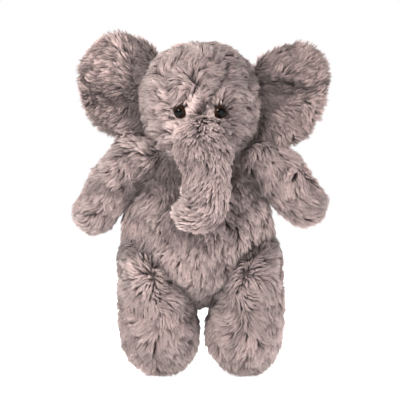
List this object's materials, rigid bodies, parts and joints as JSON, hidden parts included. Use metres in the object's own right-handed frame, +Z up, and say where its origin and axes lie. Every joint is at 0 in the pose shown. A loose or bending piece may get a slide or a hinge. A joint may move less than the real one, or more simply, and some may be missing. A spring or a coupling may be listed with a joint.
{
  "type": "stuffed elephant",
  "caption": "Standing stuffed elephant in long grey-brown plush, with floppy ears, a hanging curled trunk, round arms and legs and glossy safety eyes.",
  "frame": {"origin": "on the floor, under the middle of the toy's outline", "axes": "+Z up from the soles to the ears, -Y the way the face looks, +X the elephant's own left"},
  "size_m": [0.2498, 0.1435, 0.341],
  "materials": {
    "plush": "long clumped pile, warm grey with paler tips",
    "plush_ear_lining": "the same pile, a little darker, on the front of the ears",
    "filling": "loose white fibre filling",
    "eye": "polished dome, black with an amber-brown rim",
    "washer": "moulded, natural white"
  },
  "bodies": {
    "torso": {"torso_front_left": "plush", "torso_front_right": "plush", "torso_back_left": "plush", "torso_back_right": "plush", "torso_filling": "filling"},
    "head": {"head_side_left": "plush", "head_side_right": "plush", "head_gusset": "plush", "head_filling": "filling", "eye_left": "eye", "eye_right": "eye", "eye_washer_left": "washer", "eye_washer_right": "washer"},
    "ear_left": {"ear_front_left": "plush_ear_lining", "ear_wadding_left": "filling", "ear_back_left": "plush"},
    "ear_right": {"ear_front_right": "plush_ear_lining", "ear_wadding_right": "filling", "ear_back_right": "plush"},
    "trunk_upper": {"trunk_upper_top": "plush", "trunk_upper_under": "plush", "trunk_upper_filling": "filling"},
    "trunk_lower": {"trunk_lower_front": "plush", "trunk_lower_back": "plush", "trunk_lower_filling": "filling"},
    "arm_left": {"arm_front_left": "plush", "arm_back_left": "plush", "arm_filling_left": "filling"},
    "arm_right": {"arm_front_right": "plush", "arm_back_right": "plush", "arm_filling_right": "filling"},
    "leg_left": {"leg_front_left": "plush", "leg_back_left": "plush", "leg_filling_left": "filling"},
    "leg_right": {"leg_front_right": "plush", "leg_back_right": "plush", "leg_filling_right": "filling"}
  },
  "joints": [
    {"name": "head_nod", "type": "hinge", "parent": "torso", "child": "head", "pos_m": [0, 0.01975, 0.236], "axis": [1, 0, 0], "range_deg": [-20, 5], "stiffness_Nm_per_rad": 1.5},
    {"name": "ear_left_flap", "type": "hinge", "parent": "head", "child": "ear_left", "pos_m": [0.057, 0.02375, 0.278], "axis": [0.1736, 0, -0.9848], "range_deg": [-25, 25], "stiffness_Nm_per_rad": 0.12},
    {"name": "ear_right_flap", "type": "hinge", "parent": "head", "child": "ear_right", "pos_m": [-0.053, 0.02375, 0.2865], "axis": [0.1736, 0, 0.9848], "range_deg": [-25, 25], "stiffness_Nm_per_rad": 0.12},
    {"name": "trunk_lift", "type": "hinge", "parent": "head", "child": "trunk_upper", "pos_m": [0.002, -0.02925, 0.238], "axis": [-1, 0, 0], "range_deg": [0, 55], "stiffness_Nm_per_rad": 0.3},
    {"name": "trunk_curl", "type": "hinge", "parent": "trunk_upper", "child": "trunk_lower", "pos_m": [0.006, -0.05125, 0.201], "axis": [-1, 0, 0], "range_deg": [-10, 40], "stiffness_Nm_per_rad": 0.15},
    {"name": "arm_left_swing", "type": "hinge", "parent": "torso", "child": "arm_left", "pos_m": [0.061, 0.01775, 0.208], "axis": [-0.6905, 0, -0.7234], "range_deg": [-40, 50], "stiffness_Nm_per_rad": 0.25},
    {"name": "arm_right_swing", "type": "hinge", "parent": "torso", "child": "arm_right", "pos_m": [-0.061, 0.01775, 0.208], "axis": [-0.6905, 0, 0.7234], "range_deg": [-40, 50], "stiffness_Nm_per_rad": 0.25},
    {"name": "leg_left_fold", "type": "hinge", "parent": "torso", "child": "leg_left", "pos_m": [0.042, 0.01975, 0.08], "axis": [-1, 0, 0], "range_deg": [-20, 85], "stiffness_Nm_per_rad": 3},
    {"name": "leg_right_fold", "type": "hinge", "parent": "torso", "child": "leg_right", "pos_m": [-0.042, 0.01975, 0.08], "axis": [-1, 0, 0], "range_deg": [-20, 85], "stiffness_Nm_per_rad": 3}
  ]
}
